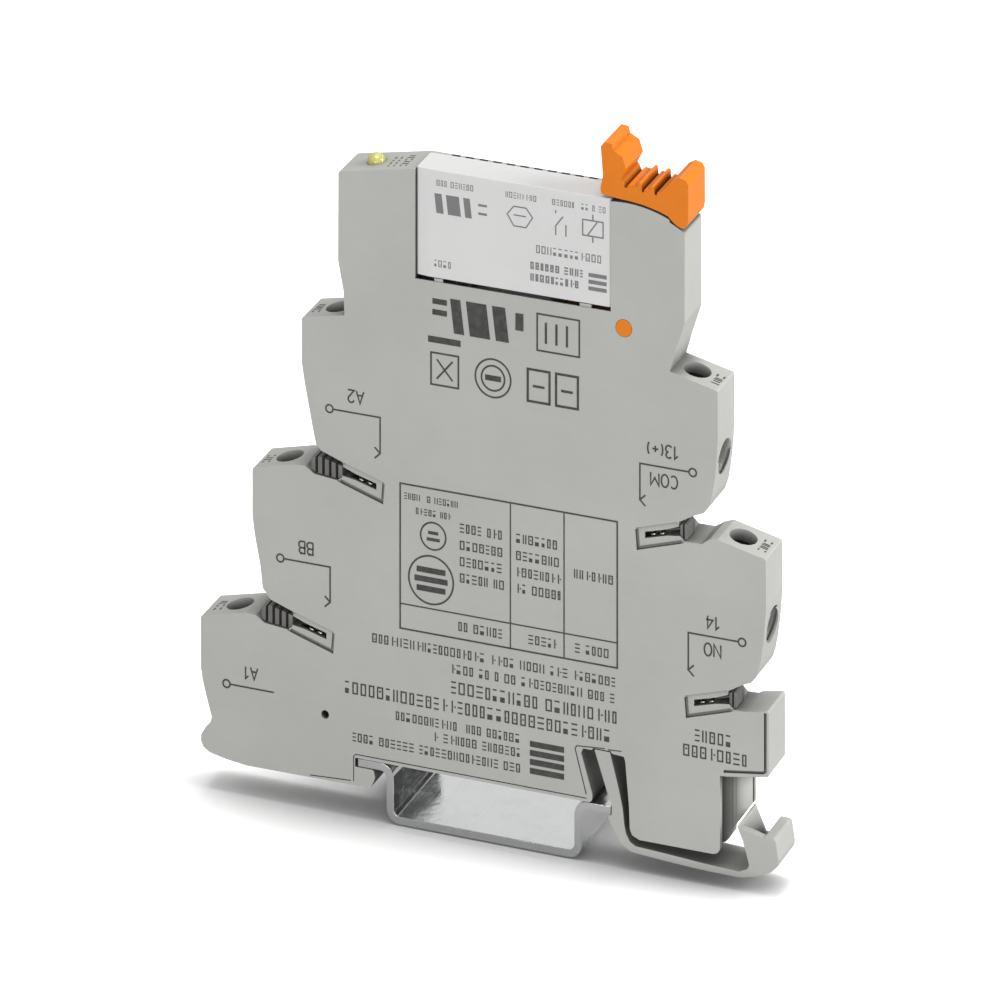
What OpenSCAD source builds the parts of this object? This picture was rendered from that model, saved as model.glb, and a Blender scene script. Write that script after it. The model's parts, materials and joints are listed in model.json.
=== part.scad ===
// Rail-mounted interface relay module: a slim two-shell socket with five screw
// terminals, four bridge shafts, a plug-in relay, an ejector lever and a sprung
// rail latch, shown on a short length of 35 mm top-hat rail.
// X runs along the module, +Z points away from the rail, Y is the thickness,
// with the front at -Y. Origin: middle of the rail width, on the rail's
// underside, mid thickness.

/* [Housing] */
// Overall thickness of the module
body_t = 6.2; // [6.2:0.1:6.6]
// Clear inner thickness between the two shells
cavity_t = 5.0; // [5.0:0.05:5.1]
// Thickness of the walls that run round the outline
wall = 0.9; // [0.8:0.05:0.95]
// Corner radius of the outline
corner_r = 0.3; // [0.2:0.05:0.4]

/* [Terminals] */
// Lean of each screw axis away from vertical, in degrees
tilt = 12.5; // [12:0.25:13]
// Radius of the wire entry
wire_r = 2.1; // [1.9:0.05:2.1]
// Radius of the screwdriver opening
access_r = 1.85; // [1.7:0.05:1.85]
// Radius of the clamping screw's shank
screw_r = 1.5; // [1.4:0.05:1.5]
// Radius of the clamping screw's head
screw_head_r = 2.1; // [2.0:0.05:2.2]

/* [Relay] */
// Length of the plug-in relay
relay_l = 26.9; // [26.6:0.1:27.0]
// Thickness of the plug-in relay
relay_t = 5.0; // [4.9:0.05:5.0]
// Height of the plug-in relay without its pins
relay_h = 13.9; // [13.6:0.1:13.9]

/* [Ejector] */
// Radius of the lever's pivot trunnions
pivot_r = 1.1; // [1.0:0.05:1.2]
// Radial running clearance of the pivots
run_gap = 0.05; // [0.03:0.01:0.08]

/* [Rail] */
// Length of the rail stub
rail_len = 16; // [15:1:30]
// Sheet thickness of the rail
rail_t = 1.0; // [1.0:0.1:1.2]

/* [Hidden] */
$fn = 48;

// ---- Y of the faces ----------------------------------------------------------
front = -body_t / 2;
back = body_t / 2;
cavity_front = -cavity_t / 2; // inside of the front wall
cavity_back = cavity_t / 2;   // inside of the back cover
board_front = -2.35;
board_back = -1.5;
past = 1;                     // how far a cut runs past a face
bite = 0.05;                  // how far an inner feature sinks into the front wall

// ---- colours -----------------------------------------------------------------
grey = [0.70, 0.70, 0.68];
dark_metal = [0.45, 0.45, 0.44];
iron = [0.62, 0.62, 0.60];
tin = [0.78, 0.78, 0.76];
zinc = [0.80, 0.81, 0.82];
silver = [0.85, 0.85, 0.83];
copper = [0.80, 0.48, 0.28];
orange = [0.91, 0.49, 0.16];
white = [0.90, 0.90, 0.90];
lens_yellow = [0.86, 0.84, 0.35];
chip_cream = [0.95, 0.92, 0.75];
board_green = [0.13, 0.36, 0.22];
resistor_tan = [0.75, 0.66, 0.50];
capacitor_red = [0.72, 0.20, 0.16];
capacitor_blue = [0.15, 0.16, 0.30];
rectifier_black = [0.12, 0.12, 0.13];
base_black = [0.16, 0.17, 0.18];
bobbin_blue = [0.20, 0.30, 0.42];
card_grey = [0.25, 0.25, 0.27];

// ---- shared places -----------------------------------------------------------
// Terminals: X and Z where the wire and screw axes cross, side (-1 left, 1 right)
TERM_A1 = [-33.24, 13.60, -1];
TERM_BB = [-26.24, 34.20, -1];
TERM_A2 = [-19.24, 54.60, -1];
TERM_13 = [26.14, 54.57, 1];
TERM_14 = [32.39, 34.22, 1];
TERMINALS = [TERM_A1, TERM_BB, TERM_A2, TERM_13, TERM_14];
screw_rise = 9.5;             // crossing point to the tier's top, along the screw
wire_reach = 5.6;             // crossing point to the tier's side, along the wire

// Inner end of each bridge slit, [x, z]: BB, A2, 13, 14
SLITS = [[-22.1, 22.5], [-15.1, 43.0], [22.2, 43.0], [28.9, 22.7]];

LEVER_PIVOT = [19.3, 69.0];   // [x, z]
LATCH_ROOT = [16.3, 15.9];    // [x, z]
latch_root_r = 1.1;
led_x = -16.15;
BAY_X = [-9.51, 17.51];       // left and right sides of the relay bay
relay_left = -9.45;
relay_under = 71.3;           // Z of the relay's underside
relay_y = -0.45;              // relay's mid plane
PINS = [-7.6, -3.8, 9.6, 12.0, 14.4]; // X of the relay's pins

// ---- helpers -----------------------------------------------------------------
// Draws a 2-D shape in the X-Z plane and gives it depth from y0 to y1
module slab(y0, y1)
    translate([0, y1, 0]) rotate([90, 0, 0]) linear_extrude(height = y1 - y0) children();
// The same, centred on the relay's mid plane
module relay_slab(half) slab(relay_y - half, relay_y + half) children();
// A box from its two corners
module box(low, high)
    translate(low) cube([high[0] - low[0], high[1] - low[1], high[2] - low[2]]);
// A box from z0 to z1 with half sizes [x, y] about an upright axis
module upright(half, z0, z1, x = 0, y = 0)
    box([x - half[0], y - half[1], z0], [x + half[0], y + half[1], z1]);
// A rectangle from its two corners
module rect(low, high) polygon([low, [high[0], low[1]], high, [low[0], high[1]]]);
// A cylinder along Y, its axis at [x, z]
module rod_y(axis, r, y0, y1)
    translate([axis[0], y1, axis[1]]) rotate([90, 0, 0]) cylinder(r = r, h = y1 - y0);
// A cylinder along +X
module rod_x(start, r, h) translate(start) rotate([0, 90, 0]) cylinder(r = r, h = h);
// Rounds a 2-D shape's outer corners
module soften(r, fn) offset(r = r, $fn = fn) offset(delta = -r) children();
// Puts children in a terminal's own frame: x out along the wire, z up the screw
module at_terminal(term)
    translate([term[0], 0, term[1]]) rotate([0, term[2] * tilt, 0])
        mirror([term[2] < 0 ? 1 : 0, 0, 0]) children();
// A point of a terminal's frame as [X, Z]
function terminal_point(term, x, z) =
    [term[0] + term[2] * (x * cos(tilt) + z * sin(tilt)),
     term[1] - x * sin(tilt) + z * cos(tilt)];
function unit(v) = v / norm(v);
function left_of(v) = [-v[1], v[0]];
function leg(path, i) = unit(path[i + 1] - path[i]);
// Point i of a path, moved sideways to the left and mitred
function offset_point(path, i, side) = let (last = len(path) - 1,
    before = leg(path, max(i - 1, 0)),
    after = leg(path, min(i, last - 1)),
    mitre = unit(left_of(before) + left_of(after)))
    path[i] + mitre * (side / (mitre * left_of(before)));
// A strip of sheet of thickness t that follows a path
module strip(path, t)
    polygon(concat([for (i = [0:len(path) - 1]) offset_point(path, i, t / 2)],
        [for (i = [len(path) - 1:-1:0]) offset_point(path, i, -t / 2)]));
function arc(centre, r, from, to, steps) = [for (k = [0:steps])
    let (angle = from + (to - from) * k / steps) centre + r * [cos(angle), sin(angle)]];

// ---- housing outline: runs of [x, z], clockwise from the foot's left ----------
FOOT_LEFT = [[-17.9, 6.4], [-15.3, 6.4], [-15.1, 5.4], [-15.7, 4.0], [-18, 3.95], [-33, 3.85],
    [-36, 4.15], [-38.4, 4.65], [-39.3, 5.2], [-39.65, 6.0], [-39.6, 6.8], [-39.0, 7.8],
    [-38.3, 8.6], [-38.1, 9.3], [-38.4, 10.3], [-38.9, 12], [-39.4, 14], [-39.65, 15.5],
    [-39.65, 22.2], [-33.3, 23.65], [-31.9, 23.6]];
SHAFT_A1_BB = [[-30.6, 22.8], [-27.4, 22.5], [-26.8, 22.9], [-26.6, 24.95], [-29.8, 26.0]];
SIDE_BB = [[-30.9, 27.3], [-31.2, 30], [-31.6, 32], [-32.0, 34], [-32.35, 36.5],
    [-32.35, 42.65], [-26.2, 44.1], [-24.9, 44.1]];
SHAFT_BB_A2 = [[-23.6, 43.3], [-20.4, 43.0], [-19.8, 43.4], [-19.6, 45.45], [-22.7, 46.5]];
TOWER = [[-23.4, 47.2], [-23.8, 49], [-24.4, 52], [-25.0, 55], [-25.4, 57.5], [-25.4, 63.3],
    [-22.2, 63.95], [-19.4, 64.5], [-19.5, 67.5], [-19.9, 69.5], [-20.3, 71.5],
    [-20.25, 83.0], [-9.6, 84.95]];
COLUMN_TOP = concat(arc(LEVER_PIVOT, 16.05, 96.4, 67.2, 12),
    arc(LEVER_PIVOT, 15.75, 66.6, 58.2, 4));
SIDE_13 = [[27.6, 81.6], [27.6, 71], [27.3, 70], [26.3, 67], [25.55, 64.45], [27.3, 64.05],
    [32.1, 63.0], [32.1, 56.8], [32.0, 54.8], [31.85, 53], [31.6, 51], [31.3, 49.3],
    [30.85, 47.95], [30.2, 47.15]];
SHAFT_13_14 = [[28.8, 46.6], [27.5, 45.85], [26.8, 45.5], [26.7, 43.8], [27.5, 43.1],
    [29.9, 43.15], [31.0, 43.95]];
SIDE_14 = [[32.1, 44.1], [38.6, 42.65], [38.65, 36.5], [38.5, 34.5], [38.35, 32.6],
    [38.05, 30.4], [37.75, 28.8], [37.3, 27.45], [36.65, 26.65]];
SHAFT_14 = [[35.3, 26.1], [34.1, 25.4], [33.5, 25.1], [33.4, 23.5], [34.2, 22.75]];
FOOT_RIGHT = [[36.0, 22.85], [39.0, 23.38], [39.0, 15.05], [33.3, 14.15], [32.4, 14.1],
    [32.4, 4.9], [32.3, 4.5], [32.0, 4.15], [31.5, 3.97], [21.4, 3.95], [20.4, 4.4],
    [20.1, 5.2], [20.0, 8], [19.5, 13.6], [19.3, 14.2], [17.65, 14.3], [17.5, 14.6],
    [15.1, 14.6], [14.95, 14.3], [13.7, 14.3], [13.45, 13.7], [15.0, 8.6], [14.95, 7.85],
    [14.6, 7.55], [-17.9, 7.55]];
POST = [[32.3, 15.3], [35.05, 15.3], [35.05, 8.85], [31.45, 4.0], [30.8, 4.6], [30.8, 15.3]];

// The cover closes the left hand shafts from behind; the right hand ones are open
BACK_13_14 = [[28.7, 46.55], [27.3, 45.75], [26.6, 45.4], [26.5, 43.4], [27.1, 42.75],
    [29.5, 42.85], [31.0, 43.75]];
BACK_14 = [[35.2, 26.05], [33.9, 25.3], [33.3, 25.0], [33.2, 23.1], [33.9, 22.35],
    [35.4, 22.5]];

// notched = true follows the front shell's bridge shafts, false the cover's
module outline(notched)
    polygon(concat(FOOT_LEFT, notched ? SHAFT_A1_BB : [], SIDE_BB, notched ? SHAFT_BB_A2 : [],
        TOWER, COLUMN_TOP, SIDE_13, notched ? SHAFT_13_14 : BACK_13_14, SIDE_14,
        notched ? SHAFT_14 : BACK_14, FOOT_RIGHT));
module soft_outline(notched) soften(corner_r, 16) outline(notched);

// ---- bridge shafts: one shape, placed four times -------------------------------
function on_right(i) = i > 1;
module at_slit(i)
    translate([SLITS[i][0], 0, SLITS[i][1]]) mirror([on_right(i) ? 1 : 0, 0, 0]) children();
// [x, z] from the slit's inner end
// Slit along the bridge's blade, rising outwards
SLIT_SHAPE = [[0.1, -0.45], [0.1, 0.38], [-1.6, 0.82], [-2.9, 1.18], [-4.7, 1.85],
    [-4.7, 0.62], [-2.9, 0.36]];
// Shallow step in the front face round the slit
RECESS = [[-5.3, -0.1], [0.8, -1.9], [1.2, 0.8], [-4.4, 2.45]];
// Groove that frames the step below and at its inner end
RECESS_GROOVE = [[-4.9, -0.05], [0.95, -1.8], [1.15, 0.6]];

// ---- shells --------------------------------------------------------------------
// Moulded lines in the front face: path of [x, z], width, depth
LINES = [
    [[[32.9, 14.75], [38.3, 15.5], [38.55, 15.75], [38.55, 23.1]], 0.36, 0.4],
    [[[14.15, 8.5], [12.62, 14.1], [12.85, 14.5], [16.7, 14.8]], 0.16, 0.2],
    [[[17.1, 14.72], [19.0, 14.85]], 0.16, 0.2],
    [[[-18.1, 4.5], [-18.1, 7.7], [-17.8, 8.0], [14.2, 8.0]], 0.14, 0.2],
    [[[-24.2, 4.2], [-18.5, 4.5]], 0.14, 0.2]];

// Pegs that join the shells, [x, z]
PEGS = [[-33, 8.8], [2, 12.4], [27, 10.5], [19, 30.5], [19.5, 62.3], [-12.2, 68.5]];
peg_r = 0.93;
peg_hole_r = 0.95;
peg_socket_r = 1.7;
RESTS = [[-6.9, -5.7], [13.2, 14.8]]; // X ends of the rests under the relay
LATCH_SEAT = [[14.0, 14.6], [18.6, 14.6], [18.6, 17.8], [17.6, 18.2], [15.0, 18.2],
    [14.0, 17.8]];

// Front wall and outline wall, with the relay bay open at the front and the top
module open_shell() difference() {
    slab(front, cavity_back) soft_outline(true);
    slab(cavity_front, cavity_back + past) offset(delta = -wall) outline(true);
    box([BAY_X[0], front - past, relay_under - 0.45], [BAY_X[1], cavity_back + past, 92]);
    // leaves a thin lip along the bay's lower edge
    box([BAY_X[0], front + 0.2, relay_under - 1.4], [BAY_X[1], cavity_front + 0.3, relay_under]);
}

module shell_inner_parts() {
    inner_y = cavity_front - bite;
    // round back post, and the inner wall it stands on
    intersection() {
        slab(-1, cavity_back) polygon(POST);
        union() {
            translate([33.55, 1.6, 0]) cylinder(r = 1.5, h = 20);
            box([30.8, 0.3, 3], [33.55, cavity_back, 16]);
        }
    }
    box([30.4, inner_y, 4.5], [31.6, cavity_back, 14.2]);
    // two small rests under the relay's front edge
    for (rest = RESTS)
        box([rest[0], front + 0.1, relay_under - 1.1], [rest[1], cavity_front, relay_under - 0.05]);
    // wall between tower and relay, and between relay and lever
    box([-10.4, cavity_front, relay_under - 0.3], [BAY_X[0], cavity_back, 84.2]);
    box([BAY_X[1], cavity_front, 74.5], [18.3, cavity_back, 84.1]);
    // wire guides and screw guides, kept inside the outline
    for (term = TERMINALS) intersection() {
        slab(inner_y, cavity_back) offset(delta = -wall / 2) outline(true);
        at_terminal(term) {
            box([2.45, inner_y, -2.9], [8, cavity_back, 2.9]);
            box([-2.9, inner_y, screw_rise - 1.45], [2.9, cavity_back, 12]);
        }
    }
    // sockets for the back cover's pegs
    for (peg = PEGS) rod_y(peg, peg_socket_r, inner_y, cavity_back);
    slab(inner_y, cavity_back) polygon(LATCH_SEAT);
}

module shell_cuts() {
    // wire entries with a flared mouth, and screwdriver openings
    for (term = TERMINALS) at_terminal(term) {
        rod_x([2, 0, 0], wire_r, 6);
        translate([wire_reach - 0.35, 0, 0]) rotate([0, 90, 0])
            cylinder(r1 = wire_r, r2 = wire_r + 0.4, h = 0.6);
        translate([0, 0, screw_rise - 2]) cylinder(r = access_r, h = 4);
    }
    for (peg = PEGS) rod_y(peg, peg_hole_r, -1.0, cavity_back + past);
    // latch root and its neck
    rod_y(LATCH_ROOT, latch_root_r + run_gap, cavity_front, cavity_back + past);
    box([LATCH_ROOT[0] - 0.7, cavity_front, 14],
        [LATCH_ROOT[0] + 0.7, cavity_back + past, LATCH_ROOT[1]]);
    // lever: pivot hole and the slot its arm swings through
    rod_y(LEVER_PIVOT, pivot_r + run_gap, front - past, cavity_front + past);
    box([18.4, -1.85, 80], [26.75, 1.85, 90]);
    // light guide
    translate([led_x, 0, 80]) cylinder(r = 1.25, h = 6);
    // bridge slits, with their step in the face
    for (i = [0:3]) at_slit(i) {
        slab(front - past, 2.2) polygon(SLIT_SHAPE);
        slab(front - past, front + 0.2) polygon(RECESS);
        slab(front - past, front + 0.42) strip(RECESS_GROOVE, 0.4);
    }
    // channel between the front plate's edge and the post
    box([31.65, front + 0.75, 3], [33.5, 0.2, 14.05]);
    // core-pin mark
    rod_y([-22.1, 12.4], 0.55, front - past, cavity_front + 0.2);
    for (line = LINES) slab(front - past, front + line[2]) strip(line[0], line[1]);
}

module front_shell() color(grey) difference() {
    union() {
        open_shell();
        shell_inner_parts();
    }
    shell_cuts();
}

relay_rib_pitch = 1.9;        // also the pitch of the air slots
module back_cover() color(grey) difference() {
    union() {
        slab(cavity_back, back) {
            soft_outline(false);
            polygon(POST);
        }
        for (peg = PEGS) rod_y(peg, peg_r, -0.5, cavity_back + 0.1);
        // ribs behind the relay
        for (k = [0:12])
            translate([relay_rib_pitch * k, 0, 0])
                box([-7.6, 2.12, 74], [-6.9, cavity_back + 0.1, 84.7]);
        // ribs across the left hand bridge shafts, growing outwards
        for (i = [0:1]) at_slit(i) for (k = [0:3])
            slab(0.9, cavity_back + 0.1)
                rect([-5.3 - 0.9 * k, 0.75 + 0.1 * k], [-4.95 - 0.9 * k, 2.3 + 0.25 * k]);
    }
    rod_y(LEVER_PIVOT, pivot_r + run_gap, cavity_back - past, back + past);
    // air slots behind the relay's top edge
    for (k = [0:11])
        translate([relay_rib_pitch * k, 0, 0])
            box([-6.75, cavity_back - past, 79], [-5.55, cavity_back + 0.5, 90]);
}

// ---- latch: outlines of [x, z] ---------------------------------------------------
LATCH = [[15.25, 14.45], [17.0, 9.3], [17.5, 8.1], [17.62, 7.7], [17.62, 6.46], [17.25, 6.42],
    [17.15, 6.0], [17.7, 4.9], [18.5, 3.6], [19.3, 2.75], [20.4, 2.2], [25, 1.9], [30, 1.65],
    [35, 1.6], [37.4, 2.1], [39.2, 2.95], [40.25, 3.95], [40.35, 4.6], [39.95, 7.1],
    [39.6, 7.3], [38.4, 7.3], [37.15, 5.1], [36.5, 5.05], [35.0, 8.3], [34.8, 8.35],
    [34.85, 7.8], [35.65, 6.0], [36.35, 3.4], [36.1, 2.85], [35, 2.35], [30, 2.55],
    [25, 2.85], [20.9, 3.05], [20.1, 3.5], [19.6, 4.4], [19.35, 5.6], [19.15, 7.5],
    [18.6, 10], [17.4, 14.45]];
LATCH_WEB = [[35.0, 8.0], [36.5, 3.0], [39.5, 3.3], [40.2, 4.6], [39.9, 7.0], [38.6, 7.15]];
module foot_latch() color(grey) {
    slab(front, back) soften(0.12, 16) polygon(LATCH);
    // web that closes the screwdriver notch at the front
    slab(front, front + 1.0) polygon(LATCH_WEB);
    // root, held in the front shell, and its neck
    rod_y(LATCH_ROOT, latch_root_r, cavity_front + 0.1, cavity_back - 0.1);
    slab(cavity_front + 0.1, cavity_back - 0.1)
        rect([LATCH_ROOT[0] - 0.45, 14.2], LATCH_ROOT + [0.45, 0]);
}

// ---- ejector: outlines of [x, z] -------------------------------------------------
LEVER_HEAD = [[16.2, 85.7], [18.5, 85.45], [20, 85.35], [22, 85.12], [24, 84.66],
    [25.3, 84.22], [26.0, 83.55], [26.5, 83.2], [27.1, 82.95], [27.6, 83.0], [27.95, 83.4],
    [28.1, 84.2], [28.08, 88.55], [27.7, 89.15], [26.8, 89.35], [25.9, 88.85],
    [24.35, 87.05], [23.9, 87.15], [23.8, 86.65], [23.5, 86.65], [23.4, 87.7],
    [22.96, 87.7], [22.84, 87.2], [22.15, 87.25], [22.05, 86.75], [21.75, 86.75],
    [21.65, 87.85], [21.21, 87.85], [21.09, 87.3], [19.85, 87.4], [19.75, 86.95],
    [19.4, 86.95], [19.2, 87.5], [18.85, 87.9], [19.6, 89.35], [19.1, 90.85],
    [17.85, 91.45], [17.65, 92.3], [16.6, 92.4], [16.1, 91.75], [16.4, 88], [16.05, 86.4]];
LEVER_ARM = [[18.0, 69.4], [18.9, 72], [18.9, 86], [20.9, 86], [20.7, 72], [20.9, 69.4]];
LEVER_HEEL = [[18.9, 71.0], [16, 71.1], [11.4, 71.15], [11.0, 70.95], [11.1, 70.4],
    [13.0, 70.0], [16.9, 69.3], [18.6, 68.0]];
module ejector_lever() color(orange) {
    slab(-3.05, 3.05) soften(0.15, 16) polygon(LEVER_HEAD);
    slab(-1.6, 1.6) polygon(LEVER_ARM);
    rod_y(LEVER_PIVOT, 2.0, -1.9, 1.9);
    rod_y(LEVER_PIVOT, pivot_r, front, back - 0.05);
    // forked heel under the relay, one prong on each side of the pins
    for (y = [[-2.2, -1.45], [0.55, 1.3]]) slab(y[0], y[1]) polygon(LEVER_HEEL);
}

// ---- signal lamp and input circuit -----------------------------------------------
lens_r = 1.2;
module led_lens() color(lens_yellow) translate([led_x, 0, 0]) difference() {
    // flanged stem with a domed top: [radius, z]
    rotate_extrude()
        polygon(concat([[0, 81.9], [1.6, 81.9], [1.6, 82.45], [lens_r, 82.55], [lens_r, 83.9]],
            [for (a = [10:10:90]) [lens_r * cos(a), 83.9 + 0.95 * sin(a)]]));
    translate([0, 0, 81]) cylinder(r = 0.6, h = 1.5);
}
module led_chip() color(chip_cream) {
    box([led_x - 0.8, board_back, 80.4], [led_x + 0.8, -0.4, 81.2]);
    rod_y([led_x, 80.8], 0.35, -0.45, -0.1);
}

// Board outline, [x, z]
BOARD = [[-15.5, 18.4], [8, 18.4], [8, 52], [5.5, 56], [5.5, 65], [-14.0, 65], [-14.0, 81.6],
    [-18.0, 81.6], [-18.0, 72], [-17.6, 66], [-17.6, 62.4], [-16.1, 58], [-16.1, 47.2],
    [-14.2, 47.2], [-14.2, 40.8], [-20.5, 40.8], [-20.5, 24.5], [-18.6, 24.5], [-18.6, 20]];
module circuit_board() color(board_green) slab(board_front, board_back) difference() {
    polygon(BOARD);
    for (x = [-10, 0]) translate([x, 61.5]) circle(r = 0.8);
}

module input_resistors() {
    x0 = -12;
    y0 = -0.2;
    length = 6.4;
    cap = 1.3;
    lead_r = 0.3;
    for (k = [0:2]) translate([0, 0, 34.5 + 4.2 * k]) {
        color(resistor_tan) {
            rod_x([x0, y0, 0], 1.0, length);
            for (x = [x0, x0 + length - cap]) rod_x([x, y0, 0], 1.15, cap);
        }
        color(tin) {
            rod_x([-13.6, y0, 0], lead_r, 9.6);
            for (x = [-13.5, -4.1]) rod_y([x, 0], lead_r, board_back, 0);
        }
    }
}
module dropper_capacitor() color(capacitor_red) {
    slab(-1.3, 2.2) offset(r = 0.5) offset(delta = -0.5) rect([-12.5, 21], [-1.5, 30]);
    for (x = [-11, -3]) rod_y([x, 25.5], 0.35, board_back, -1.2);
}
module bridge_rectifier() color(rectifier_black) {
    slab(-1.2, 1.1) polygon([[0.5, 35], [5.5, 35], [5.5, 40], [0.9, 40], [0.5, 39.6]]);
    for (x = [1.6, 4.4], z = [34.2, 40.0])
        box([x - 0.35, board_back, z], [x + 0.35, -1.15, z + 0.8]);
}
// Can profile, [radius, distance along the axis]
CAN = [[0, 0], [1.6, 0], [1.75, 0.15], [1.75, 7.6], [1.55, 7.9], [1.55, 8.2], [1.75, 8.5],
    [1.75, 8.9], [0, 8.9]];
module smoothing_capacitor() {
    can_y = 0.3;
    can_z = 52.5;
    lead_r = 0.25;
    color(capacitor_blue) translate([-9.5, can_y, can_z]) rotate([0, 90, 0])
        rotate_extrude() polygon(CAN);
    color(tin) for (z = [can_z - 0.7, can_z + 0.7]) {
        rod_x([-0.7, can_y, z], lead_r, 1.2);
        rod_y([0.3, z], lead_r, board_back, 0.5);
    }
}

// ---- current bars: paths of [x, z] -------------------------------------------------
bar_t = 0.8;
bar_rise = 1.7;               // crossing point to the bar's middle, along the screw
branch_top = 66.3;            // upper end of the branches to the relay socket
module bars(paths) color(tin) slab(-1.5, 1.65) for (path = paths) strip(path, bar_t);
// The part of each bar that lies in its clamp, from the wire side inwards
function clamp_run(term) = [terminal_point(term, 1.9, bar_rise),
    terminal_point(term, -2.7, bar_rise), terminal_point(term, -3.3, 1.55)];
// A bar's end above bridge slit i
function bridge_end(i) = SLITS[i] + [0, 0.9];
module current_bar_a1()
    bars([concat(clamp_run(TERM_A1), [[-27, 16.2], [-19, 17.0], [-16.5, 19.6], [-16.0, 22]])]);
module current_bar_a2()
    bars([concat(clamp_run(TERM_A2), [[-16.0, 55.5], [-15.15, 47], bridge_end(1)])]);
module current_bar_bb()
    bars([concat(clamp_run(TERM_BB), [[-22.9, 35.4], [-22.15, 27], bridge_end(0)])]);
module current_bar_13()
    bars([concat(clamp_run(TERM_13), [[22.5, 55.5], [22.2, 47], bridge_end(2)]),
        [[23.3, 56.3], [21, 58.3], [13.2, 60.6], [12.1, 61.8], [PINS[3], branch_top]]]);
module current_bar_14()
    bars([concat(clamp_run(TERM_14), [[29.1, 35.2], [28.9, 27], bridge_end(3)]),
        [[29.8, 36.0], [27, 37.0], [20, 40], [14, 46], [10.0, 55], [9.6, 57],
        [PINS[2], branch_top]]]);

// ---- bridge contacts: [x, z] from the slit's inner end -------------------------------
// Two-sided spring for the bridge's blade
SPRING = [[-4.2, 1.40], [-2.0, 0.80], [-0.35, 0.36], [-0.05, 0.20], [-0.05, -0.02],
    [-0.35, -0.08], [-2.0, 0.36], [-4.3, 0.92], [-5.2, 1.0]];
SPRING_LIP = [[-4.0, 1.34], [-4.5, 1.50], [-4.9, 1.85]];
// Comb of guide ribs in the open shaft; the right hand shafts are shorter
COMB_LEFT = [[-4.65, 0.5], [-5.3, 0.12], [-8.45, 0.42], [-9.3, 0.95], [-9.45, 2.1],
    [-7.8, 2.55], [-4.6, 1.8]];
COMB_RIGHT = [[-4.65, 0.95], [-5.1, 0.3], [-5.85, 0.3], [-5.85, 1.9], [-5.3, 2.2],
    [-4.65, 2.0]];
module bridge_contact(i) {
    right = on_right(i);
    comb = right ? COMB_RIGHT : COMB_LEFT;
    comb_back = right ? -0.3 : 0.85;
    rib_x = right ? -5.05 : -5.25;
    rib_pitch = right ? 0.6 : 0.95;
    rib_w = right ? 0.34 : 0.56;
    color(dark_metal) at_slit(i) {
        slab(-1.5, 0.8) {
            strip(SPRING, 0.2);
            if (!right) strip(SPRING_LIP, 0.2);
        }
        // plate behind the ribs
        slab(right ? -0.55 : 0.55, comb_back) polygon(comb);
        slab(-2.85, comb_back) intersection() {
            polygon(comb);
            for (k = [0:4]) translate([rib_x - rib_pitch * k, 0]) square([rib_w, 5]);
        }
    }
}

// ---- clamps, in the terminal's frame ---------------------------------------------------
// Slotted M3 clamping screw, its tip just clear of the current bar
module terminal_screw(term) {
    tip_z = bar_rise + bar_t / 2 + 0.05;
    tip_h = 0.35;
    head_z = 6.4;
    head_h = 1.3;
    bevel = 0.25;
    color(zinc) at_terminal(term) difference() {
        union() {
            translate([0, 0, tip_z]) cylinder(r1 = screw_r - 0.35, r2 = screw_r, h = tip_h);
            translate([0, 0, tip_z + tip_h]) cylinder(r = screw_r, h = 4.0);
            translate([0, 0, head_z]) cylinder(r = screw_head_r, h = head_h);
            translate([0, 0, head_z + head_h])
                cylinder(r1 = screw_head_r, r2 = screw_head_r - bevel, h = bevel);
        }
        upright([3, 0.35], 7.15, 9);
    }
}
// Sheet cage round the bar and the wire
module clamp_cage(term) color(zinc) at_terminal(term) difference() {
    upright([2.15, 2.4], -2.55, 4.1);
    upright([3, 1.8], -1.75, 2.9);
    cylinder(r = screw_r + 0.05, h = 9);
    // serrations that grip the wire
    for (x = [-1.2, 0, 1.2]) upright([0.2, 1.9], -1.95, -1.7, x);
}

// ---- relay socket ------------------------------------------------------------------
module socket_contacts() color(tin) for (x = PINS) {
    difference() {
        upright([0.85, 0.8], 66.6, 70.7, x, relay_y);
        upright([0.35, 0.5], 67.2, 71, x, relay_y);
        upright([0.12, 1], 68.0, 71, x, relay_y);
    }
    // tails of the two left hand contacts, on the board
    if (x < 0) box([x - 0.5, board_back, 62.6], [x + 0.5, -1.25, 66.7]);
}

// ---- relay -------------------------------------------------------------------------
pin_half = [0.25, 0.4];       // half the pin's size in X and Y
core_half = [0.6, 2.0];       // half sizes in Y and Z
tube_half = [0.95, 2.4];
fit = [0.02, 0.02];           // gap round the core and the bobbin's tube
coil_z = 78.9;                // coil axis
FLANGES_X = [-7.6, 2.6];      // left faces of the bobbin's flanges
flange_t = 0.5;
hinge_z = 73.9;               // roots of the armature and the contact blade
button_z = 80.2;
button_r = 0.9;

// Relay's plan [x, y], drawn in by inset
module relay_plan(inset, r) {
    right = relay_left + relay_l - inset;
    y0 = relay_y - relay_t / 2 + inset;
    y1 = relay_y + relay_t / 2 - inset;
    soften(r, 32) polygon([[relay_left + inset, y0 + 0.22], [relay_left + 1.75, y0],
        [right, y0], [right, y1], [relay_left + inset, y1]]);
}
module relay_cover() color(white) difference() {
    translate([0, 0, relay_under]) linear_extrude(height = relay_h) relay_plan(0, 0.35);
    translate([0, 0, relay_under - past])
        linear_extrude(height = relay_h + past - 0.5) relay_plan(0.45, 0.2);
}
module relay_base() color(base_black) difference() {
    union() {
        translate([0, 0, relay_under + 0.05]) linear_extrude(height = 1.5) relay_plan(0.5, 0.2);
        // feet that carry the yoke
        for (x = [-6.6, 2.4])
            upright([0.6, 1.4], relay_under + 1.5, relay_under + 1.95, x, relay_y);
    }
    for (x = PINS)
        upright(pin_half + [0.03, 0.03], relay_under - past, relay_under + 4, x, relay_y);
}
module pin(x, top) upright(pin_half, 67.6, top, x, relay_y);
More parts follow.
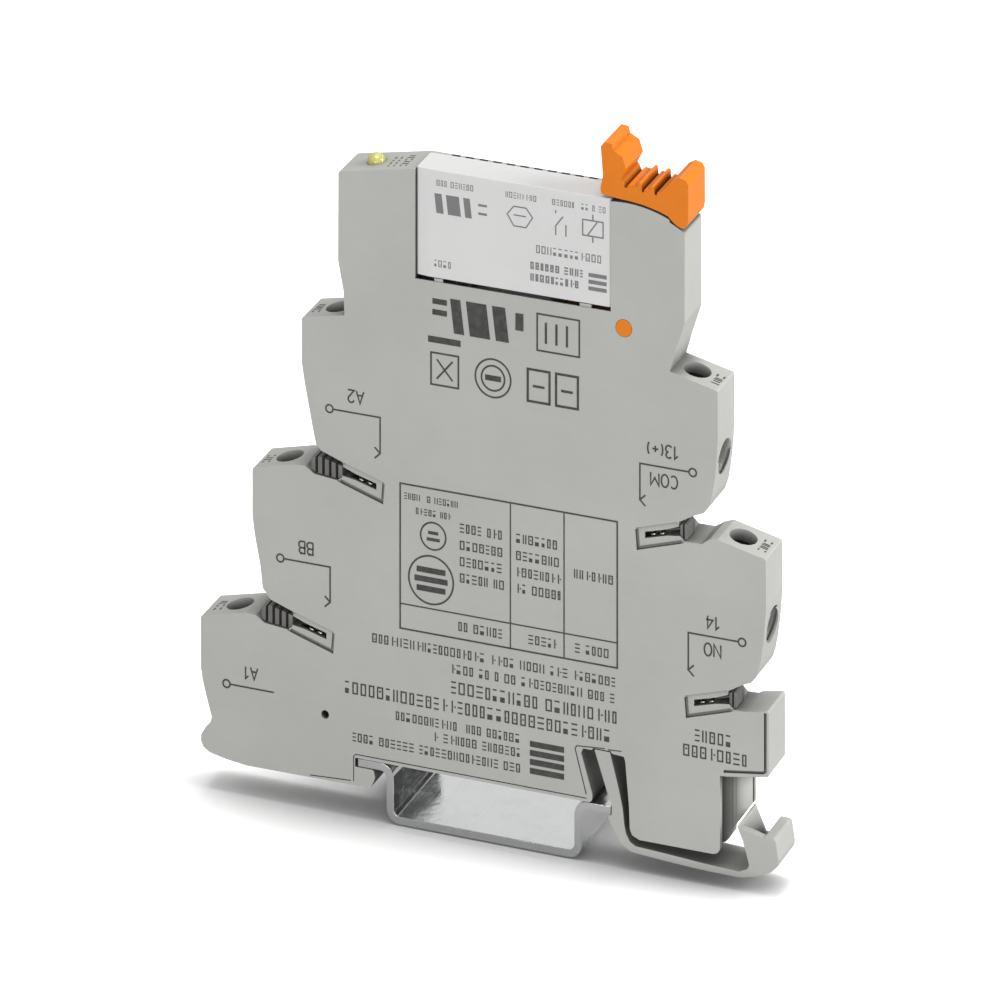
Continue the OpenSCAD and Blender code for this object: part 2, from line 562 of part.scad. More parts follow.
module coil_pins() color(tin) for (i = [0, 1]) pin(PINS[i], 73.2);

// A box from x0 to x1 with half sizes [y, z] about the coil's axis
module coil_box(x0, x1, half)
    box([x0, relay_y - half[0], coil_z - half[1]], [x1, relay_y + half[0], coil_z + half[1]]);
module coil_bobbin() color(bobbin_blue) difference() {
    union() {
        for (x = FLANGES_X) coil_box(x, x + flange_t, [1.95, 4.1]);
        coil_box(FLANGES_X[0] + flange_t, FLANGES_X[1] + 0.1, tube_half);
    }
    coil_box(-9, 4, core_half + fit);
}
module coil_winding() {
    x0 = FLANGES_X[0] + flange_t + 0.02;
    color(copper) translate([x0, 0, 0]) rotate([90, 0, 90])
        linear_extrude(height = FLANGES_X[1] - 0.02 - x0) translate([relay_y, coil_z])
            difference() {
                offset(r = 0.85) square([2.0, 5.8], center = true);
                square(2 * (tube_half + fit), center = true);
            }
}
module coil_core() color(dark_metal) {
    coil_box(-8.2, 3.7, core_half);
    coil_box(3.3, 3.75, [1.4, 2.6]);
}
module coil_yoke() color(iron) relay_slab(1.8)
    polygon([[-8.9, 73.3], [3.9, 73.3], [3.9, 74.2], [-8.22, 74.2], [-8.22, 82.4],
        [-8.9, 82.4]]);
module armature() color(iron) {
    relay_slab(1.7)
        polygon([[4.3, 74.3], [5.1, 74.3], [5.1, 82.9], [4.5, 82.9], [4.3, 82.7]]);
    rod_y([4.75, hinge_z], 0.5, relay_y - 1.7, relay_y + 1.7);
}
// Slotted card that ties the armature's tip to the contact blade, [x, z]
CARD = [[3.7, 83.8], [12.95, 83.8], [12.95, 82.0], [12.3, 82.0], [12.3, 83.1], [11.7, 83.1],
    [11.7, 82.0], [11.1, 82.0], [11.1, 83.1], [5.8, 83.1], [5.8, 82.0], [5.15, 82.0],
    [5.15, 83.1], [4.25, 83.1], [4.25, 82.0], [3.7, 82.0]];
module actuator_card() color(card_grey) relay_slab(1.5) polygon(CARD);

module button(x, h) rod_x([x, relay_y, button_z], button_r, h);
module moving_contact() color(copper) {
    x = PINS[3];
    relay_slab(1.1) rect([x - 0.12, hinge_z], [x + 0.12, 82.85]);
    rod_y([x, hinge_z], 0.3, relay_y - 1.1, relay_y + 1.1);
    button(x - 0.55, 1.1);
}
// side = 1 faces the button right, -1 left
module fixed_contact(x, side, button_h) {
    color(tin) {
        pin(x, 73.4);
        relay_slab(1.2) rect([x - 0.25, 73.05], [x + 0.25, 81.4]);
    }
    color(silver) button(side > 0 ? x + 0.2 : x - 0.2 - button_h, button_h);
}
module no_contact() fixed_contact(PINS[2], 1, 1.23);
module nc_contact() fixed_contact(PINS[4], -1, 1.56);

// ---- rail --------------------------------------------------------------------------
module din_rail_stub() {
    half_t = rail_t / 2;
    bend_r = 1.3;             // to the middle of the sheet
    brim_z = 7.5 - half_t;
    web_x = 13.5 - half_t;
    color(zinc) slab(front, front + rail_len)
        strip(concat([[-17.5, brim_z], [-14.4, brim_z]],
            arc([-web_x - bend_r, brim_z - bend_r], bend_r, 90, 0, 5), [[-web_x, 3.5]],
            arc([-web_x + bend_r, half_t + bend_r], bend_r, 180, 270, 5), [[0, half_t]],
            arc([web_x - bend_r, half_t + bend_r], bend_r, 270, 360, 5), [[web_x, 3.5]],
            arc([web_x + bend_r, brim_z - bend_r], bend_r, 180, 90, 5),
            [[14.7, brim_z], [17.5, brim_z]]), rail_t);
}

front_shell();
back_cover();
foot_latch();
ejector_lever();
led_lens();
led_chip();
circuit_board();
input_resistors();
dropper_capacitor();
bridge_rectifier();
smoothing_capacitor();
current_bar_a1();
current_bar_a2();
current_bar_bb();
current_bar_13();
current_bar_14();
bridge_contact(0);  // bridge_contact_bb
bridge_contact(1);  // bridge_contact_a2
bridge_contact(2);  // bridge_contact_13
bridge_contact(3);  // bridge_contact_14
socket_contacts();
terminal_screw(TERM_A1);  // terminal_screw_a1
terminal_screw(TERM_A2);  // terminal_screw_a2
terminal_screw(TERM_BB);  // terminal_screw_bb
terminal_screw(TERM_13);  // terminal_screw_13
terminal_screw(TERM_14);  // terminal_screw_14
clamp_cage(TERM_A1);  // clamp_cage_a1
clamp_cage(TERM_A2);  // clamp_cage_a2
clamp_cage(TERM_BB);  // clamp_cage_bb
clamp_cage(TERM_13);  // clamp_cage_13
clamp_cage(TERM_14);  // clamp_cage_14
relay_cover();
relay_base();
coil_pins();
coil_bobbin();
coil_winding();
coil_core();
coil_yoke();
armature();
actuator_card();
moving_contact();
no_contact();
nc_contact();
din_rail_stub();
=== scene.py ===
import json
import math
import random

import bmesh
import bpy
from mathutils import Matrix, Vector
from mathutils.bvhtree import BVHTree


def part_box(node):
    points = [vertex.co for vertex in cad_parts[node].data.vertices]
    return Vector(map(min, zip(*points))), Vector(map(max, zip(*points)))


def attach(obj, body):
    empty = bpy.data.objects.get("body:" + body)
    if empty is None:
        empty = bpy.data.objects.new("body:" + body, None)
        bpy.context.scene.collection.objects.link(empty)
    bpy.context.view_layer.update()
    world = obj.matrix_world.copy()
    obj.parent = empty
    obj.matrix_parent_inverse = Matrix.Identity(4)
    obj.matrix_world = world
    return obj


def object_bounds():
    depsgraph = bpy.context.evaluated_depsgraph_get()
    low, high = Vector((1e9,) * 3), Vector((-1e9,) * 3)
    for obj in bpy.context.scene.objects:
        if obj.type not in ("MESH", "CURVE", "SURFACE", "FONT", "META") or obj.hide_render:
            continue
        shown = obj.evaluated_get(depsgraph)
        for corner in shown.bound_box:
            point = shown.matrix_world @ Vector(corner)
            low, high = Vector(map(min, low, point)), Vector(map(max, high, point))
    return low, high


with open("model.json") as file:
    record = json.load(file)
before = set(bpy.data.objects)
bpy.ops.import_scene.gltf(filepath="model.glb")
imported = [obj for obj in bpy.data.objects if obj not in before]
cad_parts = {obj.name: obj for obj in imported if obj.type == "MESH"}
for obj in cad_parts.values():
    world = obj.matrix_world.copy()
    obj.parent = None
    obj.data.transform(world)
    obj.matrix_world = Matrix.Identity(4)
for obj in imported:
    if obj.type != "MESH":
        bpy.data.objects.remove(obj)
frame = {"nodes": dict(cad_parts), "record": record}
cad_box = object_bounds()
nodes = frame["nodes"]
record = frame["record"]
MM = 0.001


# ---- materials: every one is a node tree in the object's own millimetres -----------------
class Graph:
    """Builds one material's node tree."""

    def __init__(self, name):
        self.mat = bpy.data.materials.new(name)
        self.mat.use_nodes = True
        self.tree = self.mat.node_tree
        self.tree.nodes.clear()
        self.bsdf = self.node("ShaderNodeBsdfPrincipled")
        out = self.node("ShaderNodeOutputMaterial")
        self.tree.links.new(self.bsdf.outputs[0], out.inputs[0])
        coord = self.node("ShaderNodeTexCoord")
        self.mm = self.vector("SCALE", coord.outputs["Object"], scale=1000.0)
        xyz = self.node("ShaderNodeSeparateXYZ")
        self.put(xyz.inputs[0], self.mm)
        self.x, self.y, self.z = xyz.outputs

    def node(self, kind, **props):
        n = self.tree.nodes.new(kind)
        for k, v in props.items():
            setattr(n, k, v)
        return n

    def put(self, socket, value):
        if isinstance(value, bpy.types.NodeSocket):
            self.tree.links.new(value, socket)
        elif value is not None:
            if isinstance(value, (tuple, list)) and len(value) == 3 and len(socket.default_value) == 4:
                value = (*value, 1.0)
            socket.default_value = value

    def set(self, **values):
        for k, v in values.items():
            self.put(self.bsdf.inputs[k.replace("_", " ").title().replace("Ior", "IOR")], v)
        return self

    def vector(self, op, a, b=None, scale=None):
        n = self.node("ShaderNodeVectorMath", operation=op)
        self.put(n.inputs[0], a)
        if b is not None:
            self.put(n.inputs[1], b)
        if scale is not None:
            n.inputs["Scale"].default_value = scale
        return n.outputs["Value"] if op in ("DOT_PRODUCT", "LENGTH", "DISTANCE") else n.outputs[0]

    def math(self, op, a, b=None, c=None, clamp=False):
        n = self.node("ShaderNodeMath", operation=op, use_clamp=clamp)
        for i, v in enumerate((a, b, c)):
            if v is not None:
                self.put(n.inputs[i], v)
        return n.outputs[0]

    def fit(self, value, a0, a1, b0, b1, smooth=False):
        n = self.node("ShaderNodeMapRange", interpolation_type="SMOOTHSTEP" if smooth else "LINEAR")
        for i, v in enumerate((value, a0, a1, b0, b1)):
            self.put(n.inputs[i], v)
        return n.outputs[0]

    def noise(self, scale, stretch=(1, 1, 1), at=(0, 0, 0), detail=3.0, rough=0.55, distortion=0.0):
        v = self.vector("ADD", self.vector("MULTIPLY", self.mm, stretch), at)
        n = self.node("ShaderNodeTexNoise")
        self.put(n.inputs["Vector"], v)
        n.inputs["Scale"].default_value = scale
        n.inputs["Detail"].default_value = detail
        n.inputs["Roughness"].default_value = rough
        n.inputs["Distortion"].default_value = distortion
        return n.outputs[0]

    def cells(self, scale, stretch=(1, 1, 1), feature="F1"):
        v = self.vector("MULTIPLY", self.mm, stretch)
        n = self.node("ShaderNodeTexVoronoi", feature=feature)
        self.put(n.inputs["Vector"], v)
        n.inputs["Scale"].default_value = scale
        return n.outputs["Distance"]

    def mix(self, fac, a, b, blend="MIX"):
        n = self.node("ShaderNodeMix", data_type="RGBA", blend_type=blend)
        self.put(n.inputs[0], fac)
        self.put(n.inputs[6], a)
        self.put(n.inputs[7], b)
        return n.outputs[2]

    def bump(self, height, distance_mm, strength=1.0, normal=None):
        n = self.node("ShaderNodeBump")
        n.inputs["Strength"].default_value = strength
        n.inputs["Distance"].default_value = distance_mm * MM
        self.put(n.inputs["Height"], height)
        if normal is not None:
            self.put(n.inputs["Normal"], normal)
        return n.outputs[0]

    def edges(self, radius_mm):
        """1 where the surface turns a corner within the radius, 0 on the flat."""
        b = self.node("ShaderNodeBevel", samples=4)
        b.inputs["Radius"].default_value = radius_mm * MM
        geo = self.node("ShaderNodeNewGeometry")
        d = self.vector("DOT_PRODUCT", b.outputs[0], geo.outputs["Normal"])
        return self.fit(d, 1.0, 0.82, 0.0, 1.0)


    def recess_shade(self, base, reach_mm, depth, colour_k=0.25):
        """Painted shade: darkens a colour inside holes, slots and tight corners by ambient occlusion."""
        ao = self.node("ShaderNodeAmbientOcclusion", samples=6)
        ao.inputs["Distance"].default_value = reach_mm * MM
        k = self.math("POWER", ao.outputs["AO"], depth)
        dark = self.node("ShaderNodeVectorMath", operation="SCALE")
        self.put(dark.inputs[0], base)
        dark.inputs["Scale"].default_value = colour_k
        return self.mix(k, dark.outputs[0], base)


def scaled(colour, k):
    return tuple(min(1.0, c * k) for c in colour)


def moulded(name, colour, rough=0.5, drift=0.05, grain=0.004, grain_scale=5.0, wear=0.10, sss=0.0, specular=0.4, coat=0.0,
            flow=(0.35, 1.0, 0.8), recess_shade=0.0, inside=None):
    """Moulded plastic: slow colour drift, fine speckle, spark-eroded grain and slightly rubbed corners; on request,
    painted shade in recesses and on a hidden arm.
    """
    g = Graph(name)
    broad = g.noise(0.06, at=(3, 7, 1), detail=2)
    mottle = g.noise(0.9, stretch=flow, at=(11, 2, 5), detail=5, rough=0.6)
    speck = g.noise(7.0, detail=2)
    shade = g.math("ADD", g.fit(broad, 0.3, 0.7, -drift, drift), g.fit(mottle, 0.3, 0.7, -drift * 0.35, drift * 0.35))
    shade = g.math("ADD", shade, g.fit(speck, 0.3, 0.7, -drift * 0.22, drift * 0.22))
    rub = g.math("MULTIPLY", g.edges(0.22), g.fit(g.noise(0.8, detail=4), 0.35, 0.7, 0.35, 1.0))
    base = g.mix(g.fit(shade, -0.08, 0.08, 0, 1), scaled(colour, 0.92), scaled(colour, 1.08))
    base = g.mix(g.math("MULTIPLY", rub, wear), base, scaled(colour, 1.6))
    if inside:
        # painted shade: the arm inside the housing, below and left of this point, is painted nearly black where it lies
        # in the housing's shade
        painted_shade_mask = g.math("MULTIPLY", g.math("LESS_THAN", g.x, inside[0]), g.math("LESS_THAN", g.z, inside[1]))
        base = g.mix(painted_shade_mask, base, scaled(colour, 0.06))
    # painted shade in holes, slots and tight corners
    if recess_shade:
        base = g.recess_shade(base, recess_shade, 1.9, 0.16)
    rgh = g.fit(g.noise(0.35, at=(9, 9, 2), detail=4), 0.3, 0.7, rough - 0.06, rough + 0.06)
    rgh = g.math("SUBTRACT", rgh, g.math("MULTIPLY", rub, 0.08))
    relief = g.math("ADD", g.noise(grain_scale, detail=4, rough=0.6), g.math("MULTIPLY", g.cells(grain_scale * 0.8), 0.45))
    fine = g.bump(relief, grain)
    normal = g.bump(g.noise(0.05, at=(1, 4, 8), detail=1), 0.10, 0.35, fine)
    g.set(base_color=base, roughness=rgh, normal=normal, specular_ior_level=specular)
    if sss:
        g.set(subsurface_weight=sss, subsurface_radius=(1.0, 0.8, 0.6), subsurface_scale=0.0006)
    if coat:
        g.set(coat_weight=coat, coat_roughness=0.25)
    return g.mat


def rolled_metal(name, colour, rough=0.3, lines=(3.0, 0.05, 3.0), spangle=0.06, wave=0.03, wave_scale=0.22, tarnish=0.25, wear=0.4, metal=1.0):
    """Sheet metal: long rolling lines, plating blotches, shallow waves and brighter corners."""
    g = Graph(name)
    streak = g.noise(1.6, stretch=lines, detail=5, rough=0.65)
    blotch = g.noise(0.35, at=(5, 1, 9), detail=4, distortion=0.6)
    grain = g.cells(1.1)
    base = g.mix(g.fit(streak, 0.3, 0.7, 0, 1), scaled(colour, 1 - spangle), scaled(colour, 1 + spangle))
    base = g.mix(g.math("MULTIPLY", g.fit(blotch, 0.42, 0.66, 0, 1), tarnish), base, tuple(c * k for c, k in zip(colour, (0.80, 0.82, 0.88))))
    base = g.mix(g.fit(grain, 0.0, 0.9, 0.0, spangle), base, scaled(colour, 0.8))
    base = g.mix(g.math("MULTIPLY", g.edges(0.15), wear), base, scaled(colour, 1.25))
    rgh = g.math("ADD", g.fit(streak, 0.3, 0.7, rough - 0.05, rough + 0.05), g.fit(blotch, 0.3, 0.7, -0.06, 0.08))
    n1 = g.bump(streak, 0.012, 0.5)
    n2 = g.bump(g.noise(wave_scale, at=(2, 2, 2), detail=3, distortion=0.4), wave * 10, 0.35, n1)
    g.set(base_color=base, metallic=metal, roughness=rgh, normal=n2, anisotropic=0.25)
    return g.mat


def lamp_lens(name):
    g = Graph(name)
    body = g.noise(0.8, detail=3)
    base = g.mix(g.fit(body, 0.3, 0.7, 0, 1), (0.70, 0.66, 0.20), (0.80, 0.76, 0.32))
    # painted shade: the lens is darker and deeper yellow towards its foot
    rise = g.fit(g.z, 83.4, 84.8, 0, 1)
    base = g.mix(rise, scaled((0.62, 0.56, 0.14), 0.8), base)
    g.set(base_color=base, roughness=g.fit(g.noise(2.5), 0.3, 0.7, 0.16, 0.26), ior=1.49, subsurface_weight=0.6,
          subsurface_radius=(1.0, 0.9, 0.2), subsurface_scale=0.0012, transmission_weight=0.18,
          normal=g.bump(g.noise(3.0, detail=3), 0.006, 0.6), coat_weight=0.4, coat_roughness=0.08)
    return g.mat


def board(name):
    """Solder resist over copper tracks, with a faint glass weave."""
    g = Graph(name)
    v = g.vector("MULTIPLY", g.mm, (1, 0, 1))
    b = g.node("ShaderNodeTexBrick", offset=0.37, squash=1.6, squash_frequency=3)
    c = g.node("ShaderNodeCombineXYZ")
    g.put(c.inputs[0], g.x)
    g.put(c.inputs[1], g.z)
    g.put(b.inputs["Vector"], c.outputs[0])
    b.inputs["Scale"].default_value = 0.45
    b.inputs["Mortar Size"].default_value = 0.06
    b.inputs["Mortar Smooth"].default_value = 0.2
    tracks = b.outputs["Fac"]
    weave = g.math("MULTIPLY", g.math("SINE", g.math("MULTIPLY", g.x, 11.0)), g.math("SINE", g.math("MULTIPLY", g.z, 11.0)))
    base = g.mix(tracks, (0.018, 0.095, 0.042), (0.045, 0.20, 0.085))
    base = g.mix(g.fit(weave, -1, 1, 0, 0.25), base, (0.03, 0.13, 0.07))
    g.set(base_color=base, roughness=g.fit(g.noise(1.2), 0.3, 0.7, 0.28, 0.40),
          normal=g.bump(weave, 0.004, 0.5, g.bump(tracks, 0.03, 0.8)), coat_weight=0.3, coat_roughness=0.3)
    return g.mat


def resistor(name):
    """Lacquered body with colour bands; the leads and pads beyond its ends are tinned."""
    g = Graph(name)
    ramp = g.node("ShaderNodeValToRGB")
    ramp.color_ramp.interpolation = "CONSTANT"
    body = (0.52, 0.38, 0.20, 1)
    stops = [(0.0, body), (0.10, (0.35, 0.05, 0.02, 1)), (0.18, body), (0.30, (0.05, 0.02, 0.01, 1)), (0.38, body),
             (0.50, (0.70, 0.32, 0.02, 1)), (0.58, body), (0.78, (0.55, 0.40, 0.10, 1)), (0.86, body)]
    for i, (p, c) in enumerate(stops):
        e = ramp.color_ramp.elements[i] if i < 2 else ramp.color_ramp.elements.new(p)
        e.position, e.color = p, c
    lo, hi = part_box("input_resistors")
    a, b = -12.0, -5.6
    g.put(ramp.inputs[0], g.fit(g.x, a, b, 0, 1))
    lead = g.math("ADD", g.math("LESS_THAN", g.x, a - 0.01), g.math("GREATER_THAN", g.x, b + 0.01), clamp=True)
    base = g.mix(g.fit(g.noise(1.5, detail=4), 0.3, 0.7, 0, 0.2), ramp.outputs[0], scaled(body[:3], 0.75))
    base = g.mix(lead, base, (0.62, 0.61, 0.58))
    g.set(base_color=base, metallic=lead, roughness=g.fit(g.noise(2.0), 0.3, 0.7, 0.25, 0.38), normal=g.bump(g.noise(1.4, detail=4), 0.02, 0.4))
    return g.mat


def winding(name):
    """Turns of enamelled wire lying side by side."""
    g = Graph(name)
    turn = g.math("SINE", g.math("ADD", g.math("MULTIPLY", g.x, 2 * math.pi / 0.13), g.fit(g.noise(0.6), 0, 1, -1.2, 1.2)))
    base = g.mix(g.fit(turn, -1, 1, 0, 1), (0.30, 0.10, 0.035), (0.72, 0.30, 0.12))
    base = g.mix(g.fit(g.noise(0.5, detail=4), 0.35, 0.7, 0, 0.4), base, (0.50, 0.17, 0.06))
    g.set(base_color=base, metallic=0.85, roughness=g.fit(g.noise(1.0), 0.3, 0.7, 0.25, 0.4), normal=g.bump(turn, 0.03, 0.9),
          coat_weight=0.5, coat_roughness=0.15)
    return g.mat


def ink(name, colour, rough=0.55):
    """Pad-printed ink, a little uneven over the grain beneath."""
    g = Graph(name)
    thin = g.fit(g.noise(1.7, detail=4, at=(4, 4, 4)), 0.35, 0.75, 0.0, 0.35)
    base = g.mix(thin, colour, tuple(c * 0.7 + 0.12 for c in colour))
    g.set(base_color=base, roughness=g.fit(g.noise(3.0), 0.3, 0.7, rough - 0.08, rough + 0.08), normal=g.bump(g.noise(5.0, detail=3), 0.004, 0.6),
          specular_ior_level=0.35)
    return g.mat


GREY = (0.475, 0.482, 0.452)
materials = {
    "housing_grey": moulded("housing_grey", GREY, rough=0.52, drift=0.035, grain=0.006, wear=0.10, recess_shade=3.2),
    "ejector_orange": moulded("ejector_orange", (0.80, 0.215, 0.010), rough=0.45, drift=0.05, grain=0.005, wear=0.12, sss=0.06, specular=0.3, recess_shade=0.8, inside=(17.3, 72.5)),
    "lamp_yellow": lamp_lens("lamp_yellow"),
    "led_package": moulded("led_package", (0.85, 0.80, 0.55), rough=0.25, drift=0.04, grain=0.002, sss=0.4, coat=0.3),
    "board_green": board("board_green"),
    "resistor_beige": resistor("resistor_beige"),
    "capacitor_red": moulded("capacitor_red", (0.46, 0.045, 0.028), rough=0.24, drift=0.10, grain=0.012, grain_scale=1.1, coat=0.6),
    "rectifier_black": moulded("rectifier_black", (0.022, 0.022, 0.024), rough=0.5, drift=0.08, grain=0.008, wear=0.05),
    "capacitor_blue": moulded("capacitor_blue", (0.03, 0.035, 0.11), rough=0.22, drift=0.06, grain=0.003, coat=0.5),
    "tinned_copper": rolled_metal("tinned_copper", (0.66, 0.65, 0.61), rough=0.33, lines=(0.2, 3, 0.2), wave=0.01),
    # painted shade: the contact strips get a near-black colour, far darker than bronze, so that the slits read dark
    "spring_bronze": rolled_metal("spring_bronze", (0.21, 0.205, 0.195), metal=0.45, rough=0.55, lines=(0.3, 2.5, 0.3), wave=0.01, tarnish=0.5),
    "zinc_steel": rolled_metal("zinc_steel", (0.78, 0.79, 0.785), rough=0.20, spangle=0.03, wave=0.04, tarnish=0.18, wear=0.08),
    # painted shade: the screws get a dark steel colour so that the deep terminal holes read dark
    "screw_steel": rolled_metal("screw_steel", (0.20, 0.20, 0.195), rough=0.38, lines=(2, 2, 2), wave=0.01, wear=0.5),
    "relay_white": moulded("relay_white", (0.73, 0.728, 0.722), rough=0.34, drift=0.02, grain=0.003, wear=0.15, sss=0.15),
    "relay_base_black": moulded("relay_base_black", (0.03, 0.03, 0.034), rough=0.48, drift=0.08, wear=0.04),
    "bobbin_blue": moulded("bobbin_blue", (0.045, 0.10, 0.19), rough=0.4, drift=0.06, wear=0.06),
    "winding_copper": winding("winding_copper"),
    "relay_iron": rolled_metal("relay_iron", (0.42, 0.42, 0.41), rough=0.32, lines=(2, 2, 0.1), wave=0.01),
    "contact_silver": rolled_metal("contact_silver", (0.72, 0.62, 0.50), rough=0.25, lines=(2, 2, 0.1), wave=0.01),
    "card_black": moulded("card_black", (0.055, 0.055, 0.06), rough=0.45, drift=0.06, wear=0.05),
}
ink_dark = ink("ink_dark", (0.050, 0.050, 0.048))
ink_soft = ink("ink_soft", (0.20, 0.20, 0.20))

# ---- CAD nodes: finish, softened corners, smooth curves ---------------------------------
BEVEL = {"front_shell": 0.12, "back_cover": 0.12, "foot_latch": 0.12, "ejector_lever": 0.14, "relay_cover": 0.08, "din_rail_stub": 0.06,
         "led_lens": 0.05}
for part in record["subparts"]:
    o = nodes[part["node"]]
    for s in o.material_slots:
        s.material = materials[part["material_slot"]]
    me = o.data
    if "custom_normal" in me.attributes:
        me.attributes.remove(me.attributes["custom_normal"])
    me.polygons.foreach_set("use_smooth", [True] * len(me.polygons))
    w = o.modifiers.new("weld", "WELD")
    w.merge_threshold = 2e-6
    d = o.modifiers.new("flats", "DECIMATE")
    d.decimate_type, d.angle_limit = "DISSOLVE", 0.01
    b = o.modifiers.new("corners", "BEVEL")
    b.width = BEVEL.get(part["node"], 0.04) * MM
    b.segments, b.limit_method, b.angle_limit = 2, "ANGLE", 0.6
    n = o.modifiers.new("shading", "WEIGHTED_NORMAL")
    n.keep_sharp, n.weight = False, 90


# ---- marks: raised ink, built as closed strokes -----------------------------------------
class Marks:
    """Strokes and patches on one face. place(a, b, h) turns face coordinates and a height over the face, all in mm, into a point."""

    def __init__(self, place, height=0.018):
        self.place, self.bm, self.k, self.height = place, bmesh.new(), 0, height

    def _h(self):
        # neighbours differ a hair in height, so that crossing strokes never share a plane
        self.k += 1
        return self.height + 0.0009 * (self.k % 8)

    def stroke(self, pts, w=0.2, closed=False):
        pts = [Vector(p) for p in pts]
        n, h, rows = len(pts), self._h(), []
        for i, p in enumerate(pts):
            a = pts[i - 1] if (closed or i) else None
            c = pts[(i + 1) % n] if (closed or i < n - 1) else None
            d0 = (p - a).normalized() if a is not None else (c - p).normalized()
            d1 = (c - p).normalized() if c is not None else d0
            n0, n1 = Vector((-d0.y, d0.x)), Vector((-d1.y, d1.x))
            m = (n0 + n1).normalized() if (n0 + n1).length > 1e-6 else n0
            m = m * (w / 2 / max(0.45, m.dot(n0)))
            rows.append([self.bm.verts.new(self.place(*q, z) * MM) for q, z in ((p + m, h), (p - m, h), (p - m, -0.012), (p + m, -0.012))])
        for i in range(n if closed else n - 1):
            r, s = rows[i], rows[(i + 1) % n]
            for k in range(4):
                self.bm.faces.new((r[k], r[(k + 1) % 4], s[(k + 1) % 4], s[k]))
        if not closed:
            self.bm.faces.new(rows[0])
            self.bm.faces.new(rows[-1][::-1])

    def patch(self, pts):
        h = self._h()
        top = [self.bm.verts.new(self.place(*p, h) * MM) for p in pts]
        low = [self.bm.verts.new(self.place(*p, -0.012) * MM) for p in pts]
        self.bm.faces.new(top)
        self.bm.faces.new(low[::-1])
        for i in range(len(pts)):
            j = (i + 1) % len(pts)
            self.bm.faces.new((top[i], low[i], low[j], top[j]))

    def box(self, a0, b0, a1, b1, slant=0.0):
        self.patch([(a0, b0), (a1, b0), (a1 + slant, b1), (a0 + slant, b1)])

    def ring(self, a, b, r, w=0.2, n=28, start=0.0, sweep=360.0):
        closed = sweep >= 360
        steps = n if closed else n + 1
        self.stroke([(a + r * math.cos(math.radians(start + sweep * i / n)), b + r * math.sin(math.radians(start + sweep * i / n)))
                     for i in range(steps)], w, closed)

    def disc(self, a, b, r, n=24):
        self.patch([(a + r * math.cos(2 * math.pi * i / n), b + r * math.sin(2 * math.pi * i / n)) for i in range(n)])

    def rows(self, a0, a1, b, h, seed, bold=0.13, word=0.16):
        """A line of abstract marks, not letters: frames, stacked dashes, bars and blocks."""
        rnd = random.Random(seed)
        w, a = h * bold, a0
        lo, hi = b - h / 2, b + h / 2
        while a < a1 - h * 0.3:
            kind = rnd.random()
            c = h * rnd.choice((0.42, 0.5, 0.56))
            c = min(c, a1 - a)
            if kind < word:
                a += h * 0.5
                continue
            if kind < 0.52:
                self.stroke([(a + w / 2, lo + w / 2), (a + c - w / 2, lo + w / 2), (a + c - w / 2, hi - w / 2), (a + w / 2, hi - w / 2)], w, True)
                if kind < 0.34:
                    z = rnd.choice((b, b + h * 0.12, b - h * 0.12))
                    self.stroke([(a + w * 1.6, z), (a + c - w * 1.6, z)], w)
            elif kind < 0.66:
                for k in range(3):
                    z = lo + w / 2 + (h - w) * k / 2
                    self.stroke([(a, z), (a + c, z)], w)
            elif kind < 0.80:
                self.stroke([(a + w / 2, lo), (a + w / 2, hi)], w)
                self.stroke([(a + c - w / 2, lo), (a + c - w / 2, hi)], w)
            elif kind < 0.92:
                self.box(a, lo, a + c * 0.8, lo + h * 0.42)
                self.stroke([(a, hi - w / 2), (a + c * 0.8, hi - w / 2)], w)
            else:
                self.stroke([(a + c / 2, lo), (a + c / 2, hi)], w)
                self.stroke([(a + c * 0.72 + w / 2, b), (a + c + w / 2, b)], w)
            a += c + h * 0.24

    def finish(self, name, material, body):
        bmesh.ops.recalc_face_normals(self.bm, faces=self.bm.faces[:])
        me = bpy.data.meshes.new(name)
        self.bm.to_mesh(me)
        self.bm.free()
        me.materials.append(material)
        o = bpy.data.objects.new(name, me)
        bpy.context.scene.collection.objects.link(o)
        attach(o, body)
        return o


def bend(cx, cy, rx, ry, a0, a1, n=10):
    return [(cx + rx * math.cos(math.radians(a0 + (a1 - a0) * i / n)), cy + ry * math.sin(math.radians(a0 + (a1 - a0) * i / n))) for i in range(n + 1)]


# Plain single-line figures for the terminal numbers: (width, strokes), height 1
GLYPHS = {
    "A": (0.64, [[(0, 0), (0.32, 1), (0.64, 0)], [(0.13, 0.33), (0.51, 0.33)]]),
    "B": (0.54, [[(0, 0), (0, 1), (0.30, 1)] + bend(0.30, 0.765, 0.20, 0.235, 90, -90, 6) + [(0, 0.53)],
                 [(0.30, 0.53)] + bend(0.31, 0.265, 0.23, 0.265, 90, -90, 6) + [(0, 0)]]),
    "C": (0.56, [bend(0.32, 0.5, 0.32, 0.5, 48, 312, 12)]),
    "M": (0.70, [[(0, 0), (0, 1), (0.35, 0.38), (0.70, 1), (0.70, 0)]]),
    "N": (0.58, [[(0, 0), (0, 1), (0.58, 0), (0.58, 1)]]),
    "O": (0.62, [bend(0.31, 0.5, 0.31, 0.5, 0, 360, 18)]),
    "1": (0.32, [[(0.0, 0.74), (0.26, 1), (0.26, 0)]]),
    "2": (0.54, [bend(0.26, 0.73, 0.26, 0.27, 165, -35, 8) + [(0, 0), (0.54, 0)]]),
    "3": (0.52, [bend(0.24, 0.76, 0.24, 0.24, 150, -80, 8), bend(0.24, 0.27, 0.27, 0.27, 80, -150, 9)]),
    "4": (0.58, [[(0.44, 0), (0.44, 1), (0, 0.30), (0.58, 0.30)]]),
    "(": (0.22, [bend(0.5, 0.45, 0.46, 0.72, 140, 220, 6)]),
    ")": (0.22, [bend(-0.26, 0.45, 0.46, 0.72, 40, -40, 6)]),
    "+": (0.50, [[(0, 0.45), (0.5, 0.45)], [(0.25, 0.2), (0.25, 0.7)]]),
}


